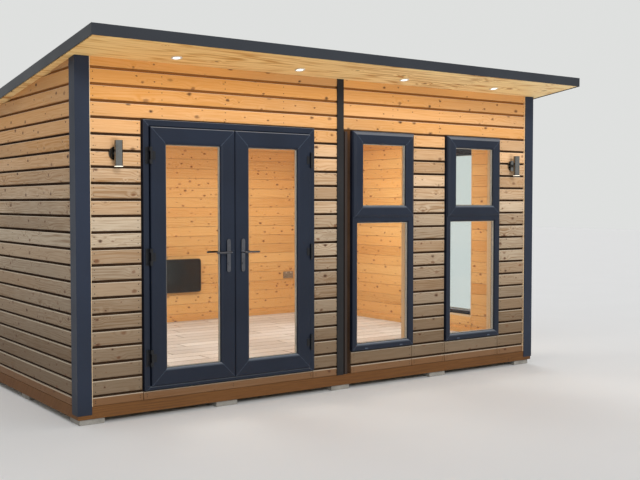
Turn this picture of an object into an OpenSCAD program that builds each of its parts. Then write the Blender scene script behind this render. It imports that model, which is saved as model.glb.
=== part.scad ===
// Garden office pod: an insulated timber room with a pent roof, French doors and tall windows.
// X runs along the front, the front faces -Y, Z is up and the ground is at z = 0.

/* [Building] */
// Length of the front, outside the cladding
front_l = 4880; // [4400:10:6000]
// Depth of the building, outside the cladding
side_l = 3660; // [2400:10:4500]
// Height of the front wall over the heads of its doors and windows, up to the soffit
over_heads = 445; // [400:5:700]
// Fall of the roof towards the back, in degrees
roof_fall = 7; // [2:0.5:8]
// How far the roof stands out over the front
canopy_d = 515; // [200:5:800]
// How far the roof stands out over the two sides
side_eaves = 66; // [30:1:200]
// How far the roof stands out over the back
back_eaves = 60; // [30:1:200]

/* [Base] */
// Height of the foundation pads
pad_h = 45; // [30:5:150]
// Width of a foundation pad
pad_w = 200; // [150:10:300]
// Height of the floor bearers
bearer_h = 93; // [70:1:150]
// Width of a floor bearer
bearer_w = 75; // [50:5:100]
// Number of bearers, front to back of the building
bearer_count = 5; // [3:1:7]
// Number of pads under each bearer
pads_per_bearer = 4; // [2:1:6]
// Thickness of the insulated floor deck
deck_t = 74; // [50:1:120]
// Thickness of the underlay and laminate
floor_t = 30; // [12:1:40]
// Height of the plinth boards
plinth_h = 92; // [60:1:94]
// Thickness of the plinth boards
plinth_t = 20; // [15:1:22]

/* [Walls] */
// Thickness of the outside cladding
clad_t = 20; // [15:1:28]
// Thickness of the insulated wall core
core_t = 110; // [70:1:150]
// Thickness of the inside pine lining
lining_t = 15; // [9:1:20]
// Height of the heads of the doors and windows, above ground
head_h = 2305; // [2200:5:2400]
// Width of each face of a corner post
post_w = 115; // [80:1:140]
// How far the corner posts stand out from the cladding
post_proud = 6; // [2:1:15]
// How far the corner posts reach down over the plinth
post_drop = 60; // [0:1:80]
// Width of a panel cover strip
strip_w = 70; // [50:1:100]
// How far a cover strip stands out from the cladding
strip_t = 10; // [4:1:15]
// How far left of the middle the cover strips stand, seen from the front
strip_shift = 22; // [0:1:40]
// Thickness of the boards that line the door and window reveals
reveal_t = 10; // [6:1:14]
// Height of the skirting
skirting_h = 48; // [40:1:120]
// Thickness of the skirting
skirting_t = 12; // [9:1:20]

/* [Doors] */
// Left edge of the door frame, from the left end of the building
door_x = 530; // [300:5:700]
// Width of the door frame
door_w = 1600; // [1500:5:1700]
// Width of the frame face beside a closed leaf
frame_face = 50; // [40:1:60]
// Height of the frame face under the leaves
threshold_face = 28; // [20:1:50]
// Depth of the door and window frames
frame_d = 70; // [60:1:80]
// How far frames stand out from the cladding
frame_proud = 20; // [0:1:30]
// Clearance round each door leaf
leaf_gap = 5; // [5:0.5:8]
// Depth of a leaf or sash
leaf_d = 62; // [56:1:66]
// How far a leaf stands out from its frame
leaf_proud = 20; // [10:1:25]
// Face width of the leaf members
stile_w = 130; // [100:1:150]
// Thickness of a sealed glass unit
unit_t = 28; // [20:1:32]
// How deep a glass unit sits in its frame
glass_bite = 12; // [8:1:15]
// Clearance round a glass unit in its groove
glass_gap = 2; // [1:0.5:4]

/* [Door fittings] */
// Length of a hinge
hinge_l = 130; // [90:1:150]
// Radius of a hinge knuckle
knuckle_r = 9; // [7:0.5:11]
// Radius of a hinge pin
pin_r = 5; // [3:0.5:6]
// Distance of the top and bottom hinges from the ends of a leaf
hinge_inset = 220; // [150:5:300]
// Width of a handle backplate
plate_w = 34; // [28:1:50]
// Height of a handle backplate
plate_h = 240; // [200:1:260]
// Thickness of a handle backplate
plate_t = 12; // [8:1:15]
// Height of the lever spindles above ground
spindle_h = 1266; // [1000:1:1400]
// Radius of a lever
lever_r = 8; // [6:0.5:10]
// Length of a lever, from its spindle to its tip
lever_l = 135; // [110:1:150]
// Distance from a backplate to the middle of the lever
lever_out = 40; // [35:1:60]
// Radius of a lever spindle
spindle_r = 4; // [3:0.5:5]

/* [Windows] */
// Width of each window
window_w = 715; // [600:5:730]
// Height of the bottom of the front windows above ground
sill_h = 337; // [300:1:500]
// Distance from the centre of the cover strip to the first front window
window_1_gap = 127; // [80:1:200]
// Distance from the second front window to the right end of the building
window_2_gap = 487; // [200:1:600]
// Front edge of the side window, from the front of the building
side_window_y = 725; // [500:5:1500]
// Height of the bottom of the side window above ground
side_sill_h = 420; // [300:1:800]
// Height of the opening sash at the top of a window
sash_h = 762; // [500:1:900]
// Face width of the window frames and transoms
window_face = 60; // [50:1:70]
// Face width of the sash members
sash_face = 102; // [80:1:110]
// Margin of frame left in sight round a sash
sash_margin = 8; // [5:1:15]
// Height of the transom left in sight under a sash
transom_show = 45; // [30:1:70]

/* [Roof] */
// Thickness of the soffit and ceiling boards
soffit_t = 12; // [9:1:20]
// Thickness of the roof deck
roof_t = 60; // [40:1:120]
// Thickness of the roof membrane
membrane_t = 3; // [2:0.5:5]
// Thickness of the edge trim
trim_t = 4; // [2:0.5:6]
// How far the edge trim stands out from the roof edge
trim_out = 18; // [10:1:30]
// Width of the trim's top flange, lapped over the membrane
trim_lap = 70; // [40:1:100]
// How far the trim reaches down past the soffit
trim_drop = 4; // [0:1:12]
// Length of each leg of a corner cap
cap_l = 120; // [80:1:200]

/* [Lights] */
// Radius of a soffit downlight
downlight_r = 43; // [30:1:55]
// Depth of a downlight bezel under the soffit
downlight_t = 6; // [3:1:10]
// Number of soffit downlights
downlight_count = 4; // [2:1:8]
// Distance of the end downlights from the ends of the building
downlight_end = 740; // [400:10:1000]
// Distance of the downlights out from the front wall
downlight_y = 175; // [100:5:400]
// Distance of a wall light from the end of the building
lamp_x = 307; // [200:1:400]
// Height of the middle of a wall light above ground
lamp_h = 2037; // [1700:1:2200]
// Radius of a wall light's body
lamp_r = 31; // [25:0.5:45]
// Length of a wall light's body
lamp_l = 193; // [120:1:250]
// Radius of a wall light's rose
rose_r = 52; // [40:1:60]
// Thickness of a wall light's rose
rose_t = 14; // [8:1:25]
// Distance of a wall light's body axis from the cladding
lamp_out = 72; // [60:1:100]

/* [Inside fittings] */
// Width of the panel heater
heater_w = 640; // [400:10:1000]
// Height of the panel heater
heater_h = 400; // [300:5:500]
// Thickness of the panel heater
heater_t = 28; // [20:1:60]
// Depth of the heater's wall bracket
heater_bracket = 24; // [15:1:60]
// Left edge of the heater, from the left end of the building
heater_x = 2255; // [1000:5:3000]
// Height of the bottom of the heater above ground
heater_z = 592; // [400:1:900]
// Width of the double socket
socket_w = 146; // [86:1:160]
// Height of the double socket
socket_h = 86; // [80:1:90]
// Thickness of the double socket
socket_t = 14; // [8:1:20]
// Distance of the socket from the right end of the building
socket_gap = 619; // [200:1:1500]
// Height of the bottom of the socket above ground
socket_z = 694; // [500:1:1100]

/* [Hidden] */
$fn = 48;

eps = 1;
// Clearance where a level piece meets a sloping one.
slope_gap = 0.3;
wall_t = clad_t + core_t + lining_t;
half_l = front_l / 2;
fall = tan(roof_fall);
// The whole roof, with its trims, is centred on the origin.
roof_half = half_l + side_eaves + trim_out;
roof_y0 = -canopy_d;
roof_y1 = side_l + back_eaves;
middle_y = (roof_y0 + roof_y1) / 2;
bearer_top = pad_h + bearer_h;
deck_top = bearer_top + deck_t;
floor_top = deck_top + floor_t;
plinth_top = bearer_top;
skin_bottom = plinth_top;
door_x0 = door_x - half_l;
door_h = head_h - deck_top;
soffit_h = head_h + over_heads;
strip_x = -strip_shift;
window_1_x = strip_x + window_1_gap;
window_2_x = half_l - window_2_gap - window_w;
window_h = head_h - sill_h;
side_window_h = head_h - side_sill_h;
// Where the frames of the front openings end inside their walls.
frame_back = frame_d - frame_proud;
// Faces of the front wall's layers.
core_y = clad_t;
lining_y = clad_t + core_t;
room_y0 = wall_t;
room_y1 = side_l - wall_t;
room_x = half_l - wall_t;

// Height of the soffit plane at a distance from the face of the front wall.
function soffit_z(y) = soffit_h - y * fall;

// Everything is drawn from the middle of the front wall's face and then centred.
module placed() {
    translate([0, -middle_y, 0]) children();
}

// A flat shape drawn in Y and Z, from x0 to x1.
module along_x(x0, x1) {
    translate([x0, 0, 0]) rotate([90, 0, 90]) linear_extrude(x1 - x0) children();
}

// A flat shape drawn in X and Z, from y0 to y1.
module along_y(y0, y1) {
    translate([0, y1, 0]) rotate([90, 0, 0]) linear_extrude(y1 - y0) children();
}

module block(x0, x1, y0, y1, z0, z1) {
    translate([x0, y0, z0]) cube([x1 - x0, y1 - y0, z1 - z0]);
}

// A wall's section, from z0 up to the roof.
module under_roof(y0, y1, z0, lift) {
    top = lift - slope_gap;
    polygon([[y0, z0], [y1, z0], [y1, soffit_z(y1) + top], [y0, soffit_z(y0) + top]]);
}

// A layer that lies on the slope of the roof.
module roof_layer(x0, x1, y0, y1, lift, t) {
    along_x(x0, x1) polygon([
        [y0, soffit_z(y0) + lift], [y1, soffit_z(y1) + lift],
        [y1, soffit_z(y1) + lift + t], [y0, soffit_z(y0) + lift + t]
    ]);
}

// Holes through the front wall, between two depths.
module door_hole(y0, y1) {
    block(door_x0, door_x0 + door_w, y0, y1, deck_top, head_h);
}

module window_hole(x, h, y0, y1) {
    block(x, x + window_w, y0, y1, head_h - h, head_h);
}

module front_window_holes(y0, y1) {
    window_hole(window_1_x, window_h, y0, y1);
    window_hole(window_2_x, window_h, y0, y1);
}

module side_window_hole(x0, x1) {
    block(x0, x1, side_window_y, side_window_y + window_w, head_h - side_window_h, head_h);
}

// Base

pad_inset = clad_t + pad_w / 2;
function spread(i, n, from, to) = from + (to - from) * i / (n - 1);
bearer_end = half_l - clad_t - bearer_w / 2;
function bearer_x(i) = spread(i, bearer_count, -bearer_end, bearer_end);
function pad_x(i) = spread(i, bearer_count, pad_inset - half_l, half_l - pad_inset);

module foundation_pads() {
    color("silver") placed() for (i = [0 : bearer_count - 1], j = [0 : pads_per_bearer - 1])
        translate([pad_x(i), spread(j, pads_per_bearer, pad_inset, side_l - pad_inset), pad_h / 2])
            cube([pad_w, pad_w, pad_h], center = true);
}

module floor_bearers() {
    color("saddlebrown") placed() for (i = [0 : bearer_count - 1])
        translate([bearer_x(i) - bearer_w / 2, clad_t, pad_h])
            cube([bearer_w, side_l - 2 * clad_t, bearer_h]);
}

module floor_deck() {
    color("burlywood") placed()
        block(clad_t - half_l, half_l - clad_t, clad_t, side_l - clad_t, bearer_top, deck_top);
}

module floor_finish() {
    color("linen") placed() {
        block(-room_x, room_x, room_y0, room_y1, deck_top, floor_top);
        block(door_x0, door_x0 + door_w, frame_back, room_y0, deck_top, floor_top);
    }
}

module plinth_boards() {
    z0 = plinth_top - plinth_h;
    plinth_x = half_l - clad_t + plinth_t;
    color("sienna") placed() {
        for (y = [clad_t - plinth_t, side_l - clad_t])
            block(-plinth_x, plinth_x, y, y + plinth_t, z0, plinth_top);
        for (x = [-plinth_x, plinth_x - plinth_t])
            block(x, x + plinth_t, clad_t + eps, side_l - clad_t - eps, z0, plinth_top);
    }
}

// Walls

module front_core(x0, x1) {
    along_x(x0, x1) under_roof(core_y, lining_y, deck_top, soffit_t);
}

module front_wall_left() {
    color("wheat") placed() front_core(clad_t - half_l, door_x0);
}

module front_wall_over_door() {
    color("wheat") placed() along_x(door_x0, door_x0 + door_w)
        under_roof(core_y, lining_y, head_h, soffit_t);
}

module front_wall_right() {
    color("wheat") placed() difference() {
        front_core(door_x0 + door_w, half_l - clad_t);
        front_window_holes(core_y - eps, lining_y + eps);
    }
}

module side_core(x0) {
    along_x(x0, x0 + core_t) under_roof(lining_y, side_l - lining_y, deck_top, soffit_t);
}

module left_wall() {
    color("wheat") placed() side_core(clad_t - half_l);
}

module right_wall() {
    x0 = half_l - lining_y;
    color("wheat") placed() difference() {
        side_core(x0);
        side_window_hole(x0 - eps, x0 + core_t + eps);
    }
}

module back_wall() {
    color("wheat") placed() along_x(clad_t - half_l, half_l - clad_t)
        under_roof(side_l - lining_y, side_l - clad_t, deck_top, soffit_t);
}

// Cladding: each skin runs between two corner posts.

skin_x = half_l + post_proud - post_w;
skin_y = post_w - post_proud;

module front_cladding() {
    color("peru") placed() difference() {
        along_x(-skin_x, skin_x) under_roof(0, clad_t, skin_bottom, 0);
        door_hole(-eps, clad_t + eps);
        front_window_holes(-eps, clad_t + eps);
    }
}

module back_cladding() {
    color("peru") placed() along_x(-skin_x, skin_x)
        under_roof(side_l - clad_t, side_l, skin_bottom, 0);
}

module side_skin(x0) {
    along_x(x0, x0 + clad_t) under_roof(skin_y, side_l - skin_y, skin_bottom, 0);
}

module left_cladding() {
    color("peru") placed() side_skin(-half_l);
}

module right_cladding() {
    color("peru") placed() difference() {
        side_skin(half_l - clad_t);
        side_window_hole(half_l - clad_t - eps, half_l + eps);
    }
}

// Inside linings: the front and back ones run the full width of the room.

lining_x = half_l - lining_y;

module front_lining() {
    color("goldenrod") placed() difference() {
        along_x(-lining_x, lining_x) under_roof(lining_y, room_y0, deck_top, 0);
        door_hole(lining_y - eps, room_y0 + eps);
        front_window_holes(lining_y - eps, room_y0 + eps);
    }
}

module back_lining() {
    color("goldenrod") placed() along_x(-lining_x, lining_x)
        under_roof(room_y1, side_l - lining_y, deck_top, 0);
}

module side_lining(x0) {
    along_x(x0, x0 + lining_t) under_roof(room_y0, room_y1, deck_top, 0);
}

module left_lining() {
    color("goldenrod") placed() side_lining(-lining_x);
}

module right_lining() {
    color("goldenrod") placed() difference() {
        side_lining(room_x);
        side_window_hole(room_x - eps, lining_x + eps);
    }
}

module ceiling_lining() {
    color("goldenrod") placed()
        roof_layer(-lining_x, lining_x, lining_y, side_l - lining_y, 0, soffit_t - slope_gap);
}

module skirting() {
    z1 = floor_top + skirting_h;
    color("goldenrod") placed() difference() {
        block(-room_x, room_x, room_y0, room_y1, floor_top, z1);
        block(skirting_t - room_x, room_x - skirting_t, room_y0 + skirting_t, room_y1 - skirting_t,
            floor_top - eps, z1 + eps);
        door_hole(room_y0 - eps, room_y0 + skirting_t + eps);
    }
}

// A lining round an opening, from the back of its frame to the room, drawn like a window.
module reveal_ring(w, h) {
    difference() {
        block(0, w, frame_d, wall_t + frame_proud, 0, h);
        block(reveal_t, w - reveal_t, frame_d - eps, wall_t + frame_proud + eps, reveal_t, h - reveal_t);
    }
}

module reveal_linings() {
    color("goldenrod") {
        placed() difference() {
            block(door_x0, door_x0 + door_w, frame_back, room_y0, floor_top, head_h);
            block(door_x0 + reveal_t, door_x0 + door_w - reveal_t, frame_back - eps, room_y0 + eps,
                floor_top - eps, head_h - reveal_t);
        }
        in_window_1() reveal_ring(window_w, window_h);
        in_window_2() reveal_ring(window_w, window_h);
        in_side_window() reveal_ring(window_w, side_window_h);
    }
}

// Posts and strips

// An angle that wraps the left front corner, with a thin lap over the plinth below the cladding.
module corner_post() {
    o = -post_proud;
    p = clad_t - plinth_t;
    difference() {
        translate([o, o, skin_bottom - post_drop]) cube([post_w, post_w, soffit_h]);
        translate([clad_t, clad_t, 0]) cube([post_w, post_w, 2 * soffit_h]);
        translate([p, p, 0]) cube([post_w, post_w, skin_bottom]);
    }
}

module corner_posts() {
    color("darkslategray") placed() for (sx = [0, 1], sy = [0, 1])
        intersection() {
            translate([(2 * sx - 1) * half_l, sy * side_l, 0])
                mirror([sx, 0, 0]) mirror([0, sy, 0]) corner_post();
            along_x(-roof_half, roof_half) under_roof(roof_y0, roof_y1, 0, 0);
        }
}

module cover_strips() {
    color("darkslategray") placed() for (y = [-strip_t, side_l])
        along_x(strip_x - strip_w / 2, strip_x + strip_w / 2) under_roof(y, y + strip_t, skin_bottom, 0);
}

// Mitred frames

// A solid whose four sides all follow one edge, so that its corners are mitred. The edge's points are
// [depth, distance in from the side], from front to back.
module mitred_solid(w, h, edge) {
    back = [for (i = [len(edge) - 1 : -1 : 0]) edge[i]];
    intersection() {
        linear_extrude(h) polygon(concat([for (p = edge) [p[1], p[0]]], [for (p = back) [w - p[1], p[0]]]));
        along_x(0, w) polygon(concat(edge, [for (p = back) [p[0], h - p[1]]]));
    }
}

// A hole with such sides, cut a little past the front and the back.
module mitred_hole(w, h, edge) {
    last = edge[len(edge) - 1];
    mitred_solid(w, h, concat(
        [[edge[0][0] - eps, edge[0][1]]], edge, [[last[0] + eps, last[1]]]
    ));
}

module mitred_frame(w, h, outer, inner) {
    difference() {
        mitred_solid(w, h, outer);
        mitred_hole(w, h, inner);
    }
}

// A quarter-round from a face to the deeper edge beside it.
function ovolo(d0, u0, d1, u1) = [for (a = [0 : ovolo_step : 90])
    [d0 + (d1 - d0) * (1 - cos(a)), u0 + (u1 - u0) * sin(a)]];

// The edge of a groove that holds a glass unit between two lips.
function glass_groove(front, face) = [
    [front, face], [front, face - glass_bite], [front + unit_t, face - glass_bite],
    [front + unit_t, face], [front + unit_t + lip_t, face]
];

// Sculpted edges of the sections.
ovolo_step = 22.5;
ovolo_w = 26;
lip_t = 4;
bead_w = 12;
edge_bevel = 6;
sash_bevel_w = 24;
sash_bevel_d = 14;
frame_bevel = 3;
frame_ovolo = 8;
stop_d = 23;
stop_w = 14;
glass_in = 18;
fixed_glass_in = 20;
leaf_back = leaf_d - leaf_proud;
glass_front = glass_in - leaf_proud;
// The part of a sash inside its frame is smaller than its face by this rebate.
sash_gap = 1;
sash_rebate = window_face - sash_margin + sash_gap;

// Frames start at depth 0. Leaves and sashes stand out in front of it.
frame_outer = [[0, frame_bevel], [frame_bevel, 0], [frame_d, 0]];
door_inner = concat(
    ovolo(0, frame_face - frame_ovolo, frame_ovolo, frame_face),
    [[frame_d - stop_d, frame_face], [frame_d - stop_d, frame_face + stop_w], [frame_d, frame_face + stop_w]]
);
fixed_inner = concat(
    ovolo(0, window_face - ovolo_w, fixed_glass_in - lip_t, window_face),
    glass_groove(fixed_glass_in, window_face),
    [[frame_d, window_face - bead_w]]
);
leaf_outer = [[-leaf_proud, edge_bevel], [edge_bevel - leaf_proud, 0], [leaf_back, 0]];
sash_outer = [
    [-leaf_proud, sash_bevel_w], [sash_bevel_d - leaf_proud, 0], [0, 0],
    [0, sash_rebate], [leaf_back, sash_rebate]
];
function leaf_inner(face) = concat(
    ovolo(-leaf_proud, face - ovolo_w, glass_front - lip_t, face),
    glass_groove(glass_front, face),
    [[leaf_back, face - bead_w]]
);

// A sealed glass unit that fills a frame of outer size w by h.
module glass_unit(w, h, face, y) {
    inset = face - glass_bite + glass_gap;
    block(inset, w - inset, y, y + unit_t, inset, h - inset);
}

// Doors

hinge_gap = 0.5;
flag_w = 40;
flag_t = 4;
knuckle_gap = 2;
web_out = 5;
wing_w = 24;
pin_fit = 0.05;
lock_drop = 92;
lock_r = 10;
lock_out = 5;
neck_r = lever_r + 1;
lever_gap = 0.3;
spindle_gap = 3;
plate_gap = 1;

leaf_w = (door_w - 2 * frame_face - 3 * leaf_gap) / 2;
leaf_h = door_h - frame_face - threshold_face - 2 * leaf_gap;
leaf_z = deck_top + threshold_face + leaf_gap;
leaf_y = -frame_proud;
hinge_x = frame_face + leaf_gap / 2;
hinge_y = -leaf_proud - knuckle_r - knuckle_gap;
spindle_u = stile_w / 2;

module door_frame() {
    cut = frame_face - threshold_face;
    color("darkslategray") placed() translate([door_x0, leaf_y, deck_top]) intersection() {
        translate([0, 0, -cut]) mitred_frame(door_w, door_h + cut, frame_outer, door_inner);
        block(0, door_w, -eps, frame_d + eps, 0, door_h);
    }
}

// Puts a leaf and its pieces in place. They are drawn for the left leaf, hinged at x = 0, and
// mirrored for the right one.
module on_leaf(side) {
    placed() translate([door_x0 + door_w / 2, leaf_y, leaf_z]) mirror([side == "right" ? 1 : 0, 0, 0])
        translate([-leaf_w - leaf_gap / 2, 0, 0]) children();
}

module leaf() {
    difference() {
        mitred_frame(leaf_w, leaf_h, leaf_outer, leaf_inner(stile_w));
        translate([leaf_w - spindle_u, 0, spindle_h - leaf_z]) rotate([90, 0, 0])
            cylinder(h = 3 * leaf_d, r = spindle_r + spindle_gap, center = true);
    }
}

module leaf_glass() {
    glass_unit(leaf_w, leaf_h, stile_w, glass_front);
}

// One backplate with rounded ends and a lock cylinder, with its back on y = 0.
module backplate() {
    end = plate_h / 2 - plate_w / 2;
    rotate([90, 0, 0]) difference() {
        union() {
            for (z = [-end, end]) translate([0, z, 0]) cylinder(h = plate_t, r = plate_w / 2);
            translate([-plate_w / 2, -end, 0]) cube([plate_w, 2 * end, plate_t]);
            translate([0, -lock_drop, 0]) cylinder(h = plate_t + lock_out, r = lock_r);
        }
        translate([0, 0, -eps]) cylinder(h = plate_t + 2 * eps, r = spindle_r + plate_gap);
    }
}

hinge_z = [hinge_inset, leaf_h / 2, leaf_h - hinge_inset];

// The leaf's half of a hinge: a barrel round the pin and a flag on the leaf's face.
module hinge_flag() {
    h = hinge_l / 2 - 2 * hinge_gap;
    x = hinge_x - frame_face - leaf_gap;
    difference() {
        union() {
            translate([x, hinge_y, -h / 2]) cylinder(h = h, r = knuckle_r);
            translate([x, -leaf_proud - flag_t, -h / 2]) cube([flag_w, flag_t, h]);
        }
        translate([x, hinge_y, -h]) cylinder(h = 2 * h, r = pin_r + pin_fit);
    }
}

// The frame's half: two knuckles joined by the pin, carried off the frame's face.
module hinge_pin() {
    h = hinge_l / 4;
    x = hinge_x - frame_face - leaf_gap;
    web_x = x - knuckle_r - web_out;
    translate([x, hinge_y, -hinge_l / 2]) cylinder(h = hinge_l, r = pin_r);
    for (z = [-hinge_l / 2, h]) translate([0, 0, z]) {
        translate([x, hinge_y, 0]) cylinder(h = h, r = knuckle_r);
        translate([web_x, hinge_y - knuckle_r / 2, 0]) cube([knuckle_r + web_out, knuckle_r, h]);
        translate([web_x, hinge_y, 0]) cube([knuckle_r, -hinge_y, h]);
    }
    translate([web_x - wing_w, -flag_t, -hinge_l / 2]) cube([wing_w + knuckle_r, flag_t, hinge_l]);
}

module leaf_fittings() {
    for (z = hinge_z) translate([0, 0, z]) hinge_flag();
    translate([leaf_w - spindle_u, 0, spindle_h - leaf_z]) {
        translate([0, -leaf_proud, 0]) backplate();
        translate([0, leaf_back, 0]) mirror([0, 1, 0]) backplate();
    }
}

// A lever with its neck, drawn on the outside and pointing to the hinge.
module lever_arm() {
    y0 = -plate_t - lever_gap;
    y1 = -plate_t - lever_out;
    translate([0, y0, 0]) rotate([90, 0, 0]) cylinder(h = y0 - y1, r = neck_r);
    translate([0, y1, 0]) sphere(r = neck_r);
    translate([0, y1, 0]) rotate([0, -90, 0]) cylinder(h = lever_l - lever_r, r = lever_r);
    translate([lever_r - lever_l, y1, 0]) sphere(r = lever_r);
}

module leaf_lever() {
    translate([leaf_w - spindle_u, 0, spindle_h - leaf_z]) {
        translate([0, leaf_back + plate_t + lever_gap + eps, 0]) rotate([90, 0, 0])
            cylinder(h = leaf_d + 2 * (plate_t + lever_gap + eps), r = spindle_r);
        translate([0, -leaf_proud, 0]) lever_arm();
        translate([0, leaf_back, 0]) mirror([0, 1, 0]) lever_arm();
    }
}

module door_hinge_pins() {
    color("dimgray") for (side = ["left", "right"], z = hinge_z)
        on_leaf(side) translate([0, 0, z]) hinge_pin();
}

module left_door_leaf() {
    color("darkslategray") on_leaf("left") leaf();
}

module left_door_glass() {
    color("lightblue", 0.4) on_leaf("left") leaf_glass();
}

module left_door_fittings() {
    color("silver") on_leaf("left") leaf_fittings();
}

module left_door_lever() {
    color("silver") on_leaf("left") leaf_lever();
}

module right_door_leaf() {
    color("darkslategray") on_leaf("right") leaf();
}

module right_door_glass() {
    color("lightblue", 0.4) on_leaf("right") leaf_glass();
}

module right_door_fittings() {
    color("silver") on_leaf("right") leaf_fittings();
}

module right_door_lever() {
    color("silver") on_leaf("right") leaf_lever();
}

// Windows

// Every window is drawn with its bottom left corner at the origin, facing -Y.
module in_window_1() {
    placed() translate([window_1_x, -frame_proud, sill_h]) children();
}

module in_window_2() {
    placed() translate([window_2_x, -frame_proud, sill_h]) children();
}

module in_side_window() {
    placed() translate([half_l + frame_proud, side_window_y, side_sill_h])
        rotate([0, 0, 90]) children();
}

transom_bottom = sash_h + sash_margin + transom_show;

module window_frame(h) {
    z0 = h - transom_bottom;
    z1 = h - sash_h - 2 * sash_margin + window_face;
    difference() {
        mitred_solid(window_w, h, frame_outer);
        mitred_hole(window_w, z0 + window_face, fixed_inner);
        block(window_face, window_w - window_face, -eps, frame_d + eps, z1, h - window_face);
    }
}

module in_sash(h) {
    translate([sash_margin, 0, h - sash_h - sash_margin]) children();
}

module window_sash(h) {
    in_sash(h) mitred_frame(window_w - 2 * sash_margin, sash_h, sash_outer, leaf_inner(sash_face));
}

module window_glass(h) {
    inset = window_face - glass_bite + glass_gap;
    in_sash(h) glass_unit(window_w - 2 * sash_margin, sash_h, sash_face, glass_front);
    block(inset, window_w - inset, fixed_glass_in, fixed_glass_in + unit_t,
        inset, h - transom_bottom + glass_bite - glass_gap);
}

module window_1_frame() {
    color("darkslategray") in_window_1() window_frame(window_h);
}

module window_1_sash() {
    color("darkslategray") in_window_1() window_sash(window_h);
}

module window_1_glass() {
    color("lightblue", 0.4) in_window_1() window_glass(window_h);
}

module window_2_frame() {
    color("darkslategray") in_window_2() window_frame(window_h);
}

module window_2_sash() {
    color("darkslategray") in_window_2() window_sash(window_h);
}

module window_2_glass() {
    color("lightblue", 0.4) in_window_2() window_glass(window_h);
}

module side_window_frame() {
    color("darkslategray") in_side_window() window_frame(side_window_h);
}

module side_window_sash() {
    color("darkslategray") in_side_window() window_sash(side_window_h);
}

module side_window_glass() {
    color("lightblue", 0.4) in_side_window() window_glass(side_window_h);
}

grip_l = 118;
grip_w = 18;
grip_t = 12;
grip_out = 34;
catch_l = 104;
catch_w = 26;
catch_t = 11;

// A handle on the inside of the bottom rail of a sash, at rest along the rail.
module window_handle(h) {
    rail_z = (sash_rebate + sash_face - bead_w) / 2;
    in_sash(h) translate([window_w / 2 - sash_margin, leaf_back, rail_z]) {
        rotate([-90, 0, 0]) linear_extrude(catch_t) rounded_bar(-catch_l / 2, catch_l / 2, catch_w);
        rotate([-90, 0, 0]) cylinder(h = grip_out, r = grip_w / 2);
        translate([0, grip_out - grip_t, 0]) rotate([-90, 0, 0])
            linear_extrude(grip_t) rounded_bar(0, grip_l, grip_w);
    }
}

// A flat bar with round ends, whose ends' middles are at x0 and x1 less half its width.
module rounded_bar(x0, x1, w) {
    for (x = [x0 + w / 2, x1 - w / 2]) translate([x, 0]) circle(r = w / 2);
    translate([x0 + w / 2, -w / 2]) square([x1 - x0 - w, w]);
}

module window_handles() {
    color("dimgray") {
        in_window_1() window_handle(window_h);
        in_window_2() window_handle(window_h);
        in_side_window() window_handle(side_window_h);
    }
}

// Roof

eaves_x = half_l + side_eaves;
deck_lift = soffit_t + roof_t;
trim_lift = deck_lift + membrane_t + slope_gap;
trim_x = eaves_x + trim_out;
trim_y0 = roof_y0 - trim_out;
trim_y1 = roof_y1 + trim_out;

module soffit() {
    color("khaki") placed() difference() {
        roof_layer(-eaves_x, eaves_x, roof_y0, roof_y1, 0, soffit_t);
        roof_layer(clad_t - half_l, half_l - clad_t, clad_t, side_l - clad_t, -eps, soffit_t + 2 * eps);
    }
}

module roof_deck() {
    color("burlywood") placed() roof_layer(-eaves_x, eaves_x, roof_y0, roof_y1, soffit_t, roof_t);
}

module roof_membrane() {
    color("black") placed() roof_layer(-eaves_x, eaves_x, roof_y0, roof_y1, deck_lift, membrane_t);
}

// The hanging face of a trim or cap, between two corners in plan.
module trim_face(x0, x1, y0, y1) {
    roof_layer(x0, x1, y0, y1, -trim_drop, trim_lift + trim_drop + trim_t);
}

module trim_top(x0, x1, y0, y1) {
    roof_layer(x0, x1, y0, y1, trim_lift, trim_t);
}

module roof_edge_trims() {
    x = trim_x - cap_l;
    wide = trim_out + trim_lap;
    color("dimgray") placed() {
        trim_face(-x, x, trim_y0, trim_y0 + trim_t);
        trim_top(-x, x, trim_y0, trim_y0 + wide);
        trim_face(-x, x, trim_y1 - trim_t, trim_y1);
        trim_top(-x, x, trim_y1 - wide, trim_y1);
        for (s = [0, 1]) mirror([s, 0, 0]) {
            trim_face(trim_x - trim_t, trim_x, trim_y0 + cap_l, trim_y1 - cap_l);
            trim_top(trim_x - wide, trim_x, trim_y0 + cap_l, trim_y1 - cap_l);
        }
    }
}

module roof_corner_caps() {
    color("dimgray") placed() for (s = [0, 1]) mirror([s, 0, 0]) {
        trim_face(trim_x - cap_l, trim_x, trim_y0, trim_y0 + trim_t);
        trim_face(trim_x - trim_t, trim_x, trim_y0, trim_y0 + cap_l);
        trim_top(trim_x - cap_l, trim_x, trim_y0, trim_y0 + cap_l);
        trim_face(trim_x - cap_l, trim_x, trim_y1 - trim_t, trim_y1);
        trim_face(trim_x - trim_t, trim_x, trim_y1 - cap_l, trim_y1);
        trim_top(trim_x - cap_l, trim_x, trim_y1 - cap_l, trim_y1);
    }
}

// Lights and inside fittings

module downlights() {
    color("white") placed() for (i = [0 : downlight_count - 1])
        translate([
            spread(i, downlight_count, downlight_end - half_l, half_l - downlight_end),
            -downlight_y, soffit_z(-downlight_y) - slope_gap
        ]) rotate([-roof_fall, 0, 0]) translate([0, 0, -downlight_t])
            cylinder(h = downlight_t, r = downlight_r);
}

lamp_wall = 3;
lamp_recess = 12;
lamp_arm_r = 14;

module wall_light() {
    rotate([90, 0, 0]) {
        cylinder(h = rose_t, r = rose_r);
        cylinder(h = lamp_out, r = lamp_arm_r);
    }
    translate([0, -lamp_out, 0]) difference() {
        cylinder(h = lamp_l, r = lamp_r, center = true);
        for (z = [-lamp_l / 2, lamp_l / 2]) translate([0, 0, z])
            cylinder(h = 2 * lamp_recess, r = lamp_r - lamp_wall, center = true);
    }
}

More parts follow.
